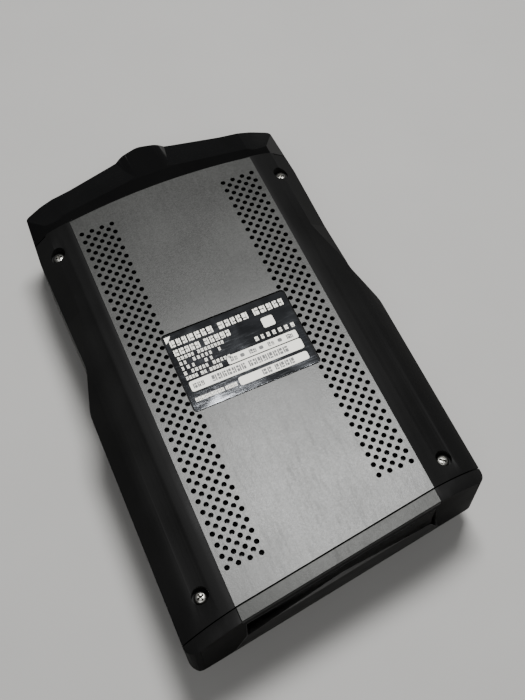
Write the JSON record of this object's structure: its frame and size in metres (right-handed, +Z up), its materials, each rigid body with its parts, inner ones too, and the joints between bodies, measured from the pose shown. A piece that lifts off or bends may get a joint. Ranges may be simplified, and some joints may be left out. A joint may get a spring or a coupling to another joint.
{
  "type": "radar detector",
  "caption": "Windscreen radar detector lying underside up, with perforated grey centre plate, sloping wings, glossy lens cap and skewed display end.",
  "frame": {"origin": "middle of the outline at the resting plateau (the real top face, which lies down)", "axes": "+Y towards the road-facing lens cap, +Z up towards the labelled underside, +X to the right when looking along +Y"},
  "size_m": [0.071, 0.1228, 0.027],
  "materials": {
    "shell_soft_black": "soft-touch matt",
    "cover_black": "fine satin grain",
    "cap_gloss_black": "polished",
    "smoked_lens": "smoked, polished",
    "plate_grey": "metallic satin paint",
    "frame_grey": "satin",
    "window_glass": "smoked, polished",
    "label_metal": "dark foil, glossy",
    "screw_steel": "bright nickel plate",
    "switch_black": "moulded",
    "dock_black": "fine matt",
    "contact_gold": "gold plate",
    "magnet_nickel": "nickel plate",
    "board_green": "solder resist",
    "horn_cast": "cast",
    "can_steel": "tinned",
    "cone_paper": "pressed fibre",
    "mesh_cloth": "fine woven mesh",
    "gasket_rubber": "foam",
    "connector_cream": "moulded",
    "patch_ceramic": "ceramic, matt",
    "key_black": "satin",
    "plunger_red": "moulded"
  },
  "bodies": {
    "housing": {"base_shell": "shell_soft_black", "top_cover": "cover_black", "lens_cap": "cap_gloss_black", "receiver_lens": "smoked_lens", "front_bezel": "shell_soft_black", "bezel_trim": "plate_grey", "window_frame": "frame_grey", "display_window": "window_glass", "vent_plate": "plate_grey", "rating_label": "label_metal", "housing_screws": "screw_steel", "key_panel": "cap_gloss_black", "tact_switches": "switch_black", "dock_pad": "dock_black", "dock_contacts": "contact_gold", "dock_magnets": "magnet_nickel", "power_jack": "switch_black", "main_board": "board_green", "board_screws": "screw_steel", "radar_horn": "horn_cast", "radar_board": "board_green", "laser_sensor": "can_steel", "laser_board": "board_green", "speaker_frame": "switch_black", "speaker_cone": "cone_paper", "dust_mesh": "mesh_cloth", "display_module": "window_glass", "window_gasket": "gasket_rubber", "display_board": "board_green", "display_connector": "connector_cream", "gps_antenna": "patch_ceramic", "wifi_module": "can_steel", "processor_shield": "can_steel", "backup_cell": "can_steel"},
    "menu_button": {"menu_key": "key_black", "menu_plunger": "plunger_red"},
    "minus_button": {"minus_key": "key_black", "minus_plunger": "plunger_red"},
    "plus_button": {"plus_key": "key_black", "plus_plunger": "plunger_red"},
    "mute_button": {"mute_key": "key_black", "mute_plunger": "plunger_red"}
  },
  "joints": [
    {"name": "menu_press", "type": "slide", "parent": "housing", "child": "menu_button", "axis": [0, 0, 1], "range_m": [0, 0.00035], "stiffness_N_per_m": 1500, "springref_m": -0.0001},
    {"name": "minus_press", "type": "slide", "parent": "housing", "child": "minus_button", "axis": [0, 0, 1], "range_m": [0, 0.00035], "stiffness_N_per_m": 1500, "springref_m": -0.0001},
    {"name": "plus_press", "type": "slide", "parent": "housing", "child": "plus_button", "axis": [0, 0, 1], "range_m": [0, 0.00035], "stiffness_N_per_m": 1500, "springref_m": -0.0001},
    {"name": "mute_press", "type": "slide", "parent": "housing", "child": "mute_button", "axis": [0, 0, 1], "range_m": [0, 0.00035], "stiffness_N_per_m": 1500, "springref_m": -0.0001}
  ]
}
